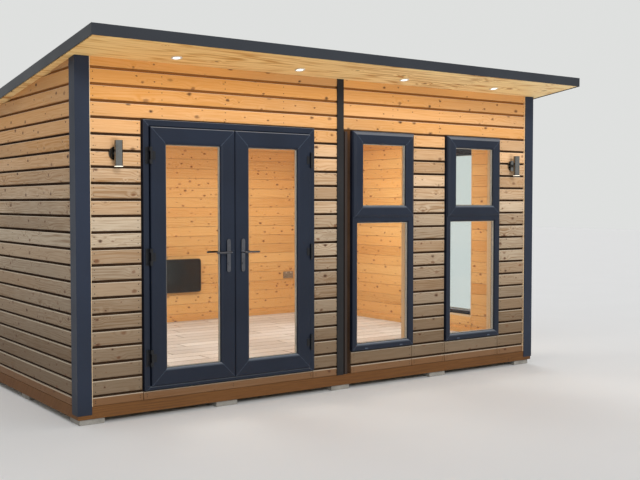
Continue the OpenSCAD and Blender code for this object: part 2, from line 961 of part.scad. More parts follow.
module wall_lights() {
    color("silver") placed() for (x = [lamp_x - half_l, half_l - lamp_x])
        translate([x, 0, lamp_h]) wall_light();
}

bracket_w = 64;
bracket_inset = 128;

module panel_heater() {
    x = heater_x - half_l;
    y = room_y1 - heater_bracket - heater_t;
    color("black") placed() {
        block(x, x + heater_w, y, y + heater_t, heater_z, heater_z + heater_h);
        for (u = [bracket_inset, heater_w - bracket_inset - bracket_w])
            block(x + u, x + u + bracket_w, y + heater_t, room_y1, heater_z + heater_h / 4,
                heater_z + 3 * heater_h / 4);
    }
}

module wall_socket() {
    x = half_l - socket_gap - socket_w;
    color("white") placed()
        block(x, x + socket_w, room_y1 - socket_t, room_y1, socket_z, socket_z + socket_h);
}

foundation_pads();
floor_bearers();
floor_deck();
floor_finish();
plinth_boards();
front_wall_left();
front_wall_over_door();
front_wall_right();
left_wall();
right_wall();
back_wall();
front_cladding();
left_cladding();
right_cladding();
back_cladding();
front_lining();
left_lining();
right_lining();
back_lining();
ceiling_lining();
skirting();
reveal_linings();
corner_posts();
cover_strips();
door_frame();
door_hinge_pins();
left_door_leaf();
left_door_glass();
left_door_fittings();
left_door_lever();
right_door_leaf();
right_door_glass();
right_door_fittings();
right_door_lever();
window_1_frame();
window_1_sash();
window_1_glass();
window_2_frame();
window_2_sash();
window_2_glass();
side_window_frame();
side_window_sash();
side_window_glass();
window_handles();
soffit();
roof_deck();
roof_membrane();
roof_edge_trims();
roof_corner_caps();
downlights();
wall_lights();
panel_heater();
wall_socket();
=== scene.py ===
import math
import random

import bpy
import numpy as np
from mathutils import Matrix, Vector


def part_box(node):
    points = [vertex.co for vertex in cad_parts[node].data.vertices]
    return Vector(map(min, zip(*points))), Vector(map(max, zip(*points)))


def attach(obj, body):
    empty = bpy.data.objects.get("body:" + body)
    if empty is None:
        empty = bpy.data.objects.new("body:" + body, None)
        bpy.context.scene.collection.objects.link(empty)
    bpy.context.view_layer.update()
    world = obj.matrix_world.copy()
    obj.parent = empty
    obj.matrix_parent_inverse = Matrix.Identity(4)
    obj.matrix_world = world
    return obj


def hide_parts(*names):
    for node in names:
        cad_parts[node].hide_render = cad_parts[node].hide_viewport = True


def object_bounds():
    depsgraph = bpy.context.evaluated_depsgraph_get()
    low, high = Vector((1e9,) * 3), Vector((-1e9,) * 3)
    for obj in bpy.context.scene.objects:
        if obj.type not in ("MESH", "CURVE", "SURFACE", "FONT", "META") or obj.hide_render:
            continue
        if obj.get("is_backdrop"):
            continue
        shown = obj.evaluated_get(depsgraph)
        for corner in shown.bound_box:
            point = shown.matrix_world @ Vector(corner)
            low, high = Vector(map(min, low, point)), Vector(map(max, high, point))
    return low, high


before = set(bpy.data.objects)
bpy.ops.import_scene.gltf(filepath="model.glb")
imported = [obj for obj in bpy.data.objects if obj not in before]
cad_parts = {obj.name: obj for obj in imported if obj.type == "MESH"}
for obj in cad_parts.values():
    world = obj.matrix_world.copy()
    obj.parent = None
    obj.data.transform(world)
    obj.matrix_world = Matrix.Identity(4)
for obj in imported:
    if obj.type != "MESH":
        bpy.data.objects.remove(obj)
cadLow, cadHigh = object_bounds()
chance = random.Random(11)

# Main lines of the building in metres. The front faces -Y.
pod = dict(
    endX=2.440, front=-1.6025, back=2.0575, roomX=2.295, roomFront=-1.4575, roomBack=1.9125,
    deckTop=0.212, floorTop=0.242, skinLow=0.138, head=2.305, soffitFront=2.750,
    fall=math.radians(7), postIn=0.109, stripX=-0.022)
roofLean = (-pod["fall"], 0, 0)
slope = math.cos(pod["fall"])
# Openings as left, right, bottom and top, seen along their own wall.
doorHole = (-1.910, -0.310, 0.212, 2.305)
windowHoles = [(0.105, 0.820, 0.337, 2.305), (1.238, 1.953, 0.337, 2.305)]
sideHole = (-0.8775, -0.1625, 0.420, 2.305)


def soffitHeight(y):
    return pod["soffitFront"] - (y - pod["front"]) * math.tan(pod["fall"])


# Modelling helpers.
def makeActive(piece):
    bpy.ops.object.select_all(action="DESELECT")
    piece.select_set(True)
    bpy.context.view_layer.objects.active = piece


def settle(piece):  # place, turn and scale go into the mesh
    makeActive(piece)
    bpy.ops.object.transform_apply(location=True, rotation=True, scale=True)
    return piece


def setDown(piece, spot=(0, 0, 0), turn=(0, 0, 0)):  # turned, then moved
    piece.rotation_euler = turn
    piece.location = spot
    return settle(piece)


def block(name, low, high):
    bpy.ops.object.select_all(action="DESELECT")
    bpy.ops.mesh.primitive_cube_add(size=1, location=[(a + b) / 2 for a, b in zip(low, high)])
    piece = bpy.context.object
    piece.name = name
    piece.scale = [b - a for a, b in zip(low, high)]
    return settle(piece)


def rod(name, radius, start, end, sides=32):
    start, end = Vector(start), Vector(end)
    bpy.ops.object.select_all(action="DESELECT")
    bpy.ops.mesh.primitive_cylinder_add(radius=radius, depth=(end - start).length, vertices=sides,
                                        location=(start + end) / 2)
    piece = bpy.context.object
    piece.name = name
    piece.rotation_euler = (end - start).to_track_quat("Z", "Y").to_euler()
    return settle(piece)


def joined(parts, name):
    bpy.ops.object.select_all(action="DESELECT")
    for part in parts:
        part.select_set(True)
    bpy.context.view_layer.objects.active = parts[0]
    if len(parts) > 1:
        bpy.ops.object.join()
    parts[0].name = name
    return parts[0]


def pick(piece, kind, wanted):  # stays in edit mode with the wanted parts selected
    makeActive(piece)
    bpy.ops.object.mode_set(mode="EDIT")
    bpy.ops.mesh.select_mode(type=kind)
    bpy.ops.mesh.select_all(action="DESELECT")
    bpy.ops.object.mode_set(mode="OBJECT")
    mesh = piece.data
    for part in {"FACE": mesh.polygons, "EDGE": mesh.edges, "VERT": mesh.vertices}[kind]:
        part.select = wanted(part)
    bpy.ops.object.mode_set(mode="EDIT")


def backToObject():
    bpy.ops.object.mode_set(mode="OBJECT")


def looking(axis, way):  # for the faces that look one way along an axis
    return lambda face: face.normal[axis] * way > 0.9


def bevelFaces(piece, axis, way, width, rounds):
    pick(piece, "FACE", looking(axis, way))
    bpy.ops.mesh.bevel(offset=width, segments=rounds, affect="EDGES")
    backToObject()


def insetFaces(piece, axis, way, *steps):  # a step is a thickness and a depth
    pick(piece, "FACE", looking(axis, way))
    for thickness, depth in steps:
        bpy.ops.mesh.inset(thickness=thickness, depth=depth)
    backToObject()


def bevelEdges(piece, width, rounds, deepOnly=True):  # those that run along Y, or all of them
    def wanted(edge):
        a, b = (piece.data.vertices[i].co for i in edge.vertices)
        return not deepOnly or abs((a - b).y) > 0.001
    pick(piece, "EDGE", wanted)
    bpy.ops.mesh.bevel(offset=width, segments=rounds, affect="EDGES")
    backToObject()


def soften(piece, width, rounds=2):
    makeActive(piece)
    edge = piece.modifiers.new("softEdges", "BEVEL")
    edge.width = width
    edge.segments = rounds
    edge.limit_method = "ANGLE"
    edge.angle_limit = math.radians(30)
    edge.use_clamp_overlap = True
    bpy.ops.object.modifier_apply(modifier="softEdges")
    return shadeFlats(piece)


def shadeFlats(piece):  # flat faces stay flat in the light, and only the eased edges turn
    makeActive(piece)
    bpy.ops.object.shade_smooth_by_angle(angle=math.radians(35))
    even = piece.modifiers.new("flatFaces", "WEIGHTED_NORMAL")
    even.keep_sharp = True
    even.weight = 80
    bpy.ops.object.modifier_apply(modifier="flatFaces")
    return piece


def cutAway(piece, spot, normal):  # what lies past the plane goes, and the cut is closed
    makeActive(piece)
    bpy.ops.object.mode_set(mode="EDIT")
    bpy.ops.mesh.select_all(action="SELECT")
    bpy.ops.mesh.bisect(plane_co=spot, plane_no=normal, use_fill=True, clear_outer=True)
    backToObject()
    return piece


def cutUnderRoof(piece, spare=0.0004):
    spot = (0, pod["front"], pod["soffitFront"] - spare)
    return cutAway(piece, spot, (0, math.sin(pod["fall"]), math.cos(pod["fall"])))


# Lays the grain along an axis, each board on its own stretch of it.
def layGrain(piece, along):
    mesh = piece.data
    sheet = mesh.uv_layers[0] if mesh.uv_layers else mesh.uv_layers.new(name="grain")
    sheet.name = "grain"
    corners = np.zeros(len(mesh.loops), np.int32)
    mesh.loops.foreach_get("vertex_index", corners)
    spots = np.zeros(len(mesh.vertices) * 3, np.float32)
    mesh.vertices.foreach_get("co", spots)
    spots = spots.reshape(-1, 3)[corners]
    sides = np.zeros(len(mesh.polygons), np.int32)
    mesh.polygons.foreach_get("loop_total", sides)
    numbers = np.zeros(len(mesh.polygons), np.int32)
    if "board" in mesh.attributes:
        mesh.attributes["board"].data.foreach_get("value", numbers)
    numbers = np.repeat(numbers, sides)
    shifts = np.array([[chance.uniform(0, 300), chance.uniform(0, 300)]
                       for _ in range(int(numbers.max()) + 1)])
    others = [axis for axis in range(3) if axis != along]
    places = np.stack([spots[:, along] + shifts[numbers, 0],
                       spots[:, others[0]] + spots[:, others[1]] + shifts[numbers, 1]], axis=1)
    sheet.data.foreach_set("uv", places.astype(np.float32).ravel())


def numberBoards(piece):  # each board is still a block with six faces
    numbers = piece.data.attributes.new("board", "INT", "FACE")
    numbers.data.foreach_set("value", [i // 6 for i in range(len(piece.data.polygons))])


# Board places on a wall, as left, right, bottom and top. Boards stop short of an opening, and meet
# under its two sides. What would be thinner than a sliver is left out.
def boardPlaces(low, high, courses, openings, joints, endGap, jointGap, sliver=0.01):
    places = []
    for bottom, top in courses:
        cuts = {low: 0, high: 0}
        for spot in joints:
            cuts[spot] = jointGap / 2
        for left, right, sill, head in openings:
            if head > bottom:
                cuts[left] = cuts[right] = endGap if sill < top else jointGap / 2
        edges = sorted(cuts)
        for a, b in zip(edges, edges[1:]):
            middle = (a + b) / 2
            hole = [o for o in openings if o[0] < middle < o[1] and o[2] < top and o[3] > bottom]
            if not hole:
                places.append((a + cuts[a], b - cuts[b], bottom, top))
                continue
            if hole[0][2] - endGap > bottom + sliver:
                places.append((a, b, bottom, hole[0][2] - endGap))
            if hole[0][3] + endGap < top - sliver:
                places.append((a, b, hole[0][3] + endGap, top))
    return places


# Boards drawn facing -Y with their face at the given depth, chamfered round the face, then turned.
# The grain runs along the wall, unless an axis is given.
def layBoards(name, places, face, depth, turn, chamfer, rounds=3, along=None):
    blocks = [block(name, (a, face, c), (b, face + depth, d)) for a, b, c, d in places]
    boards = joined(blocks, name)
    numberBoards(boards)
    bevelFaces(boards, 1, -1, chamfer, rounds)
    setDown(boards, turn=(0, 0, turn))
    cutUnderRoof(boards)
    shadeFlats(boards)
    sideways = 1 if abs(math.sin(turn)) > 0.5 else 0
    layGrain(boards, sideways if along is None else along)
    return boards


# A copy of a CAD piece with its triangles merged, to be finished.
def copyNode(node, name):
    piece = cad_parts[node].copy()
    piece.data = piece.data.copy()
    for key in list(piece.keys()):
        del piece[key]
    piece.parent = None
    bpy.context.scene.collection.objects.link(piece)
    piece.hide_render = piece.hide_viewport = False
    piece.name = name
    makeActive(piece)
    bpy.ops.mesh.customdata_custom_splitnormals_clear()
    bpy.ops.object.mode_set(mode="EDIT")
    bpy.ops.mesh.select_all(action="SELECT")
    bpy.ops.mesh.remove_doubles(threshold=0.00002)
    bpy.ops.mesh.dissolve_limited(angle_limit=math.radians(1))
    backToObject()
    return piece


# A flat frame drawn facing -Y, with its hole bridged through.
def ring(name, low, high, width):
    band = block(name, low, high)
    pick(band, "FACE", lambda face: abs(face.normal.y) > 0.9)
    bpy.ops.mesh.inset(thickness=width, depth=0)
    bpy.ops.mesh.bridge_edge_loops()
    backToObject()
    return band


weld = dict(
    wide=0.0009, deep=0.0007, faceReach=0.016, backReach=0.004, slack=0.001, outside=0.002,
    exact=0.00003)


# A fine V-groove with a paler weld in it, along the diagonal of each mitred corner. A corner is its
# place along the wall, its height and the two ways into the frame.
def mitre(piece, corners, reach, inward):
    upward = Vector((0, 0, 1))
    sideways = inward.cross(upward)
    spots = piece.data.vertices
    depths = [spot.co.dot(inward) for spot in spots]
    outer, inner = min(depths), max(depths)
    sunk = [(1, outer - weld["slack"], outer + weld["faceReach"]),
            (-1, inner - weld["backReach"], inner + weld["slack"])]
    for u, z, du, dz in corners:
        corner = sideways * u + upward * z
        across = (upward * du - sideways * dz).normalized()

        def near(point):
            away = point - corner
            steps = (away.dot(sideways) * du, away.z * dz)
            return all(-weld["outside"] < step < reach for step in steps)

        def offLine(point):
            return abs((point - corner).dot(across))

        for offset in (-weld["wide"], 0, weld["wide"]):
            pick(piece, "FACE", lambda face: any(near(spots[i].co) for i in face.vertices))
            bpy.ops.mesh.bisect(plane_co=corner + across * offset, plane_no=across)
            backToObject()
        for way, low, high in sunk:
            pick(piece, "VERT", lambda spot: near(spot.co) and offLine(spot.co) < weld["exact"]
                 and low < spot.co.dot(inward) < high)
            bpy.ops.transform.translate(value=inward * weld["deep"] * way)
            backToObject()
        for face in piece.data.polygons:
            onLine = all(offLine(spots[i].co) < weld["wide"] * 1.1 for i in face.vertices)
            if near(face.center) and onLine:
                face.material_index = 1
    return shadeFlats(piece)


def fourCorners(left, right, bottom, top):
    return [(left, bottom, 1, 1), (right, bottom, -1, 1), (left, top, 1, -1), (right, top, -1, -1)]


def copyOf(master, name, shift=(0, 0, 0)):
    twin = master.copy()
    twin.data = master.data.copy()
    twin.data.transform(Matrix.Translation(shift))
    twin.name = name
    bpy.context.scene.collection.objects.link(twin)
    return twin


def spread(master, places, name):  # one modelled piece, copied to each place
    copies = [copyOf(master, name, place) for place in places]
    bpy.data.objects.remove(master)
    return joined(copies, name)


def paint(piece, *materials):
    piece.data.materials.clear()
    for material in materials:
        piece.data.materials.append(material)
    return piece


def finish(piece, slot, *nodes, body="building"):
    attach(piece, body)
    if nodes:
        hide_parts(*nodes)
    return piece


# Material helpers.
def tint(red, green, blue):  # a colour as it is seen, 0 to 255
    def plain(v):
        v /= 255
        return v / 12.92 if v <= 0.04045 else ((v + 0.055) / 1.055) ** 2.4
    return (plain(red), plain(green), plain(blue), 1)


def put(tree, kind, inputs=None, **options):
    made = tree.nodes.new("ShaderNode" + kind)
    for key, value in options.items():
        setattr(made, key, value)
    for key, value in (inputs or {}).items():
        if isinstance(value, bpy.types.NodeSocket):
            tree.links.new(value, made.inputs[key])
        else:
            made.inputs[key].default_value = value
    return made


def maths(tree, work, a, b=0.0, clamp=False):
    return put(tree, "Math", {0: a, 1: b}, operation=work, use_clamp=clamp).outputs[0]


def ranged(tree, value, low, high, toLow=0.0, toHigh=1.0, kind="LINEAR"):
    return put(tree, "MapRange", {"Value": value, "From Min": low, "From Max": high,
                                  "To Min": toLow, "To Max": toHigh},
               interpolation_type=kind).outputs[0]


def mixed(tree, share, first, second):
    return put(tree, "Mix", {0: share, 6: first, 7: second}, data_type="RGBA").outputs[2]


def objectSpot(tree):
    return put(tree, "TexCoord").outputs["Object"]


def heightOf(tree, vector):
    return put(tree, "SeparateXYZ", {0: vector}).outputs[2]


def facingUp(tree):  # 1 on what faces straight up
    return heightOf(tree, put(tree, "NewGeometry").outputs["Normal"])


def cloudy(tree, vector, scale, detail=2.0):
    return put(tree, "TexNoise", {"Vector": vector, "Scale": scale, "Detail": detail}).outputs[0]


def bumped(tree, height, strength, distance):
    return put(tree, "Bump", {"Strength": strength, "Distance": distance,
                              "Height": height}).outputs[0]


def fresh(name):
    material = bpy.data.materials.new(name)
    material.use_nodes = True
    material.node_tree.nodes.clear()
    return material, material.node_tree


def cover(tree, inputs, kind="BsdfPrincipled"):
    put(tree, "OutputMaterial", {"Surface": put(tree, kind, inputs).outputs[0]})


usualTimber = dict(
    blushDepth=0.4, knotsPerMetre=5.0, knotShare=0.5, ringsPerMetre=40, ringWander=4.0,
    ringDepth=0.4, fibreDepth=0.2, toneDepth=0.2, rough=0.5, relief=0.4)
# Knots are drawn out along the grain, have a rough rim and a dark heart, and pull the rings aside.
# Fibre, patch and band sizes are steps along and across the grain.
figure = dict(
    knotStretch=(0.72, 1.15, 1), rim=0.0034, rimNoise=(34, 60, 3.0), smallest=0.35, crowding=1.6,
    knotInner=0.45, heartOuter=0.7, heartInner=0.2, pull=1.4, pullReach=4, knotDepth=0.85,
    wander=(0.5, 2.6, 1.0), uneven=(0.8, 14, 1.0), unevenShare=0.6, bands=(0.9, 9, 1.0),
    fibre=(5, 230, 4.0), tone=(0.11, 0.13, 0.0), blush=(0.23, 0.19, 0.0), grey=(0.37, 0.29, 1.0),
    turn=6.2832, roughChange=0.07)
# Heights in metres between which the painted downlight glow, the darkening towards the bottom and
# the browner lowest row show on the cladding.
paintedGlowAndWeather = dict(amber=(1.5, 2.6), splash=(2.15, 0.4), lowRow=(0.216, 0.208))


def timber(name, **own):
    look = {**usualTimber, **own}
    material, tree = fresh(name)
    spot = put(tree, "UVMap", uv_map="grain").outputs[0]

    def noise(kind):
        along, across, detail = figure[kind]
        place = put(tree, "Mapping", {"Vector": spot, "Scale": (along, across, 1)}).outputs[0]
        return put(tree, "TexNoise", {"Vector": place, "Scale": 1.0, "Detail": detail},
                   noise_dimensions="2D").outputs[0]

    def times(a, b):
        return maths(tree, "MULTIPLY", a, b)

    def plus(a, b, clamp=False):
        return maths(tree, "ADD", a, b, clamp)

    def span(value, low, high, toLow=0.0, toHigh=1.0, kind="LINEAR"):
        return ranged(tree, value, low, high, toLow, toHigh, kind)

    def stain(share, colour, name):
        return mixed(tree, share, colour, tint(*look[name]))

    def stained(colour, name, value, low, high):  # as deep as the look says
        return stain(span(value, low, high, 0, look[name + "Depth"]), colour, name)

    drawn = put(tree, "Mapping", {"Vector": spot, "Scale": figure["knotStretch"]}).outputs[0]
    cells = put(tree, "TexVoronoi", {"Vector": drawn, "Scale": look["knotsPerMetre"]},
                voronoi_dimensions="2D")
    kinds = put(tree, "SeparateColor", {0: cells.outputs["Color"]}).outputs
    bare = 1 - look["knotShare"]
    size = maths(tree, "POWER", span(kinds[0], bare, 1, figure["smallest"], 1), figure["crowding"])
    size = times(times(maths(tree, "GREATER_THAN", kinds[0], bare), size), look["knotSize"])
    away = maths(tree, "DIVIDE", cells.outputs["Distance"], look["knotsPerMetre"])
    away = plus(away, span(noise("rimNoise"), 0.3, 0.7, -figure["rim"], figure["rim"]))
    knot = times(span(away, size, times(size, figure["knotInner"])), span(kinds[1], 0, 1, 0.5, 1))
    heart = span(away, times(size, figure["heartOuter"]), times(size, figure["heartInner"]))
    heart = times(heart, span(kinds[2], 0.25, 0.9))
    reach = plus(times(size, figure["pullReach"]), 0.0001)
    pull = times(span(away, 0, reach, 1, 0, "SMOOTHSTEP"), figure["pull"])

    across = put(tree, "SeparateXYZ", {0: spot}).outputs[1]
    wander = times(noise("wander"), look["ringWander"])
    uneven = times(noise("uneven"), look["ringWander"] * figure["unevenShare"])
    phase = plus(plus(plus(times(across, look["ringsPerMetre"]), wander), uneven), pull)
    rings = maths(tree, "SINE", times(phase, figure["turn"]))
    rings = maths(tree, "POWER", span(rings, -1, 1), 2.0)
    rings = times(rings, span(noise("bands"), 0.35, 0.65, 0.25, 1.0))
    fibre = noise("fibre")
    share = span(fibre, 0.3, 0.7, -look["fibreDepth"], look["fibreDepth"])
    share = plus(times(rings, look["ringDepth"]), share)
    share = plus(share, span(noise("tone"), 0.3, 0.7, 0, look["toneDepth"]), True)

    colour = stain(share, tint(*look["light"]), "dark")
    colour = stained(colour, "blush", noise("blush"), 0.4, 0.7)
    if "amber" in look:  # painted light: a warm glow on the high boards, as from the downlights; low ones are darker towards the bottom and greyed in patches
        height = heightOf(tree, objectSpot(tree))
        colour = stained(colour, "amber", height, *paintedGlowAndWeather["amber"])
        # darker towards the bottom
        colour = stained(colour, "splash", height, *paintedGlowAndWeather["splash"])
        colour = stained(colour, "grey", noise("grey"), 0.45, 0.7)
        colour = stained(colour, "lowRow", height, *paintedGlowAndWeather["lowRow"])
    colour = stain(times(knot, figure["knotDepth"]), colour, "knot")
    colour = stain(times(heart, figure["knotDepth"]), colour, "knotHeart")
    if "edge" in look:  # painted highlight: paler on the upward-facing top edges, as if lit from above
        colour = stained(colour, "edge", facingUp(tree), 0.2, 0.8)
    if "joint" in look:  # dark in the bevels between planks
        colour = stained(colour, "joint", facingUp(tree), 0.97, 0.85)
    height = plus(times(fibre, 0.7), times(rings, 0.3))
    rough, change = look["rough"], figure["roughChange"]
    rough = span(fibre, 0.3, 0.7, rough - change, rough + change)
    cover(tree, {"Base Color": colour, "Roughness": rough, "Specular IOR Level": 0.3,
                 "Normal": bumped(tree, height, look["relief"], 0.001)})
    return material


usualCoat = dict(stretch=(1, 1, 1), speck=0.25, relief=0.1, metal=0.0, shine=0.4)


# A painted, moulded or metal finish, with a slow change of tone, fine specks and smudges.
def coated(name, **own):
    look = {**usualCoat, **own}
    material, tree = fresh(name)
    spot = objectSpot(tree)
    place = put(tree, "Mapping", {"Vector": spot, "Scale": look["stretch"]}).outputs[0]
    broad, fine = cloudy(tree, spot, look["broad"]), cloudy(tree, place, look["fine"])
    colour = mixed(tree, ranged(tree, broad, 0.35, 0.65), tint(*look["base"]), tint(*look["other"]))
    specks = ranged(tree, fine, 0.45, 0.8, 0, look["speck"])
    colour = mixed(tree, specks, colour, tint(*look["dust"]))
    if "settled" in look:  # painted highlight: paler on what faces up, as if lit from above
        paintedTopLightShare = ranged(tree, facingUp(tree), 0.12, 0.85, 0, 0.6)
        colour = mixed(tree, paintedTopLightShare, colour, tint(*look["settled"]))
    if "lit" in look:  # paler high up, where the low light reaches in
        reached = ranged(tree, heightOf(tree, spot), 2.2, 2.6, 0, 0.85)
        colour = mixed(tree, reached, colour, tint(*look["lit"]))
    rough = ranged(tree, broad, 0.35, 0.65, look["rough"] - 0.04, look["rough"] + 0.04)
    cover(tree, {"Base Color": colour, "Roughness": rough, "Metallic": look["metal"],
                 "Specular IOR Level": look["shine"],
                 "Normal": bumped(tree, fine, look["relief"], 0.0005)})
    return material


pane = dict(
    clear=(0.965, 0.98, 0.975, 1), smeared=(0.98, 0.99, 0.985, 1), rough=0.015, glance=0.6,
    straight=0.008)


def glassPane(name):
    material, tree = fresh(name)
    smear = cloudy(tree, objectSpot(tree), 1.7, 3.0)
    shade = mixed(tree, smear, pane["clear"], pane["smeared"])
    clear = put(tree, "BsdfTransparent", {0: shade})
    shine = put(tree, "BsdfGlossy", {"Color": (1, 1, 1, 1), "Roughness": pane["rough"]})
    turned = put(tree, "LayerWeight", {"Blend": 0.5}).outputs["Facing"]
    edge = maths(tree, "MULTIPLY", maths(tree, "POWER", turned, 5.0), pane["glance"])
    edge = maths(tree, "ADD", edge, pane["straight"])
    cover(tree, {0: edge, 1: clear.outputs[0], 2: shine.outputs[0]}, "MixShader")
    return material


def lampLens(name, colour, strength):
    material, tree = fresh(name)
    shade = mixed(tree, cloudy(tree, objectSpot(tree), 300.0), tint(*colour), (1, 0.97, 0.9, 1))
    cover(tree, {"Base Color": shade, "Roughness": 0.4, "Emission Color": shade,
                 "Emission Strength": strength})
    return material


# On the cladding, the warm colour high up is a painted glow, as from the downlights.
claddingTimber = timber(
    "claddingTimber", light=(224, 205, 178), dark=(148, 115, 80), blush=(200, 162, 122),
    blushDepth=0.45, amber=(216, 148, 64), amberDepth=0.82, splash=(96, 74, 50), splashDepth=0.86,
    grey=(134, 118, 98), greyDepth=0.4, lowRow=(122, 78, 38), lowRowDepth=0.6,
    # the pale edge colour is a painted highlight on the boards' top edges
    edge=(246, 232, 208), edgeDepth=0.55, knot=(106, 64, 36), knotHeart=(48, 30, 20),
    knotsPerMetre=7.4, knotShare=0.9, knotSize=0.023, ringsPerMetre=38, ringDepth=0.55,
    fibreDepth=0.3, toneDepth=0.55, rough=0.7)
plinthTimber = timber(
    "plinthTimber", light=(116, 75, 34), dark=(72, 45, 20), blush=(102, 62, 26), knot=(72, 44, 24),
    knotHeart=(42, 26, 16), knotsPerMetre=6.0, knotSize=0.015, toneDepth=0.3, rough=0.72,
    relief=0.35)
# The lining's pale edge colour is a painted highlight on upward faces, such as the skirting's top.
liningPine = timber(
    "liningPine", light=(230, 186, 122), dark=(198, 144, 80), blush=(218, 158, 88),
    blushDepth=0.45, edge=(250, 216, 156), edgeDepth=0.2, knot=(136, 72, 32),
    knotHeart=(84, 42, 20), knotsPerMetre=10.0, knotShare=0.9, knotSize=0.020, ringsPerMetre=34,
    ringDepth=0.45, fibreDepth=0.14, toneDepth=0.5, relief=0.15)
palePine = timber(
    "palePine", light=(228, 202, 164), dark=(208, 172, 128), blush=(218, 184, 138),
    knot=(178, 128, 82), knotHeart=(134, 86, 50), knotsPerMetre=4.0, knotShare=0.4, knotSize=0.010,
    ringDepth=0.3, fibreDepth=0.12, relief=0.12)
soffitLook = dict(
    light=(255, 230, 172), dark=(168, 108, 44), blush=(242, 186, 100), blushDepth=0.5,
    knot=(128, 78, 36), knotHeart=(76, 44, 22), knotsPerMetre=3.2, knotShare=0.75, knotSize=0.032,
    ringsPerMetre=12, ringWander=6.5, ringDepth=1.05, fibreDepth=0.18, toneDepth=0.25, rough=0.6,
    relief=0.2)
soffitPly = timber("soffitPly", **soffitLook)
soffitLook.update(dark=(200, 146, 84), blush=(250, 210, 140))
soffitPale = timber("soffitPale", **soffitLook)
laminateOak = timber(
    "laminateOak", light=(230, 232, 234), dark=(196, 194, 192), blush=(214, 212, 208),
    blushDepth=0.5, joint=(64, 54, 46), jointDepth=0.85, knot=(158, 144, 128),
    knotHeart=(136, 120, 104), knotsPerMetre=2.5, knotShare=0.35, knotSize=0.012, ringsPerMetre=34,
    ringDepth=0.5, toneDepth=0.9, rough=0.4, relief=0.06)
frameTimber = timber(
    "frameTimber", light=(150, 130, 96), dark=(106, 88, 60), blush=(120, 114, 78), blushDepth=0.5,
    knot=(84, 60, 38), knotHeart=(54, 38, 26), knotSize=0.014, fibreDepth=0.25, rough=0.8)
# A very dark timber: painted shade for the strip beside the first window.
shadedStripTimber = timber(
    "shadedStripTimber", light=(58, 46, 40), dark=(38, 30, 25), blush=(50, 38, 32), knot=(44, 30, 22),
    knotHeart=(30, 21, 16), knotSize=0.008, ringsPerMetre=60, toneDepth=0.4, rough=0.75,
    relief=0.3)
grooveShade = coated(
    "grooveShade", base=(60, 42, 28), other=(46, 32, 22), dust=(84, 62, 42), lit=(150, 98, 50),
    broad=6.0, fine=60.0, stretch=(0.1, 0.1, 4), rough=0.9, relief=0.2, shine=0.1)
# The pale colour on what faces up is a painted highlight on the frames' upward-facing bevels.
anthracite = coated(
    "anthracite", base=(23, 31, 46), other=(19, 26, 40), dust=(60, 71, 90),
    settled=(150, 158, 168), broad=3.0, fine=900.0, stretch=(1, 1, 0.12), rough=0.38, speck=0.1,
    relief=0.06, shine=0.28)
hingeBlack = coated(
    "hingeBlack", base=(15, 17, 21), other=(12, 13, 17), dust=(44, 47, 54), broad=8.0, fine=800.0,
    rough=0.34, speck=0.1, relief=0.05)
weldGrey = coated(
    "weldGrey", base=(86, 96, 112), other=(78, 88, 104), dust=(110, 118, 130), broad=30.0,
    fine=900.0, rough=0.5, shine=0.3)
postGrey = coated(
    "postGrey", base=(34, 42, 58), other=(29, 36, 50), dust=(66, 74, 88), broad=2.2, fine=700.0,
    rough=0.5, speck=0.15, relief=0.08, shine=0.25)
stripGrey = coated(
    "stripGrey", base=(34, 33, 34), other=(29, 28, 29), dust=(64, 61, 58), broad=2.5, fine=600.0,
    rough=0.55, speck=0.2, shine=0.25)
trimGrey = coated(
    "trimGrey", base=(44, 48, 54), other=(38, 41, 47), dust=(84, 84, 82), broad=2.0, fine=420.0,
    rough=0.45, speck=0.2, relief=0.08, shine=0.25)
roofRubber = coated(
    "roofRubber", base=(44, 45, 46), other=(58, 58, 57), dust=(108, 104, 96), broad=1.4, fine=60.0,
    rough=0.82, speck=0.3, relief=0.3)
roofLap = coated(
    "roofLap", base=(60, 61, 62), other=(70, 70, 69), dust=(120, 116, 108), broad=1.8, fine=60.0,
    rough=0.72, speck=0.3, relief=0.3)
concrete = coated(
    "concrete", base=(158, 154, 146), other=(136, 132, 124), dust=(92, 88, 80), broad=9.0,
    fine=160.0, rough=0.92, speck=0.5, relief=0.6)
darkChrome = coated(
    "darkChrome", base=(104, 105, 110), other=(90, 91, 96), dust=(140, 141, 145), broad=14.0,
    fine=900.0, metal=1.0, rough=0.13, relief=0.02)
stainless = coated(
    "stainless", base=(132, 131, 128), other=(118, 117, 114), dust=(164, 163, 160), broad=20.0,
    fine=500.0, stretch=(1, 1, 0.02), metal=1.0, rough=0.17, relief=0.015)
galvanised = coated(
    "galvanised", base=(62, 48, 36), other=(46, 34, 26), dust=(96, 84, 72), broad=30.0, fine=500.0,
    metal=0.5, rough=0.55)
spacerGrey = coated(
    "spacerGrey", base=(170, 165, 155), other=(158, 154, 146), dust=(190, 186, 178), broad=30.0,
    fine=800.0, rough=0.4)
gasketBlack = coated(
    "gasketBlack", base=(20, 20, 22), other=(28, 28, 30), dust=(60, 60, 60), broad=12.0,
    fine=300.0, rough=0.6)
whitePlastic = coated(
    "whitePlastic", base=(226, 225, 220), other=(216, 215, 210), dust=(200, 198, 190), broad=20.0,
    fine=600.0, rough=0.35, speck=0.1)
blackGlass = coated(
    "blackGlass", base=(24, 20, 19), other=(19, 16, 15), dust=(40, 36, 34), broad=5.0, fine=500.0,
    rough=0.14, speck=0.05, relief=0.01, shine=0.35)
socketMetal = coated(
    "socketMetal", base=(164, 158, 148), other=(150, 145, 136), dust=(184, 180, 172), broad=18.0,
    fine=700.0, stretch=(0.03, 1, 1), metal=0.7, rough=0.4)
paneGlass = glassPane("paneGlass")
downLens = lampLens("downLens", (255, 248, 230), 1.6)
wallLens = lampLens("wallLens", (255, 240, 205), 1.0)
print("materials ready")

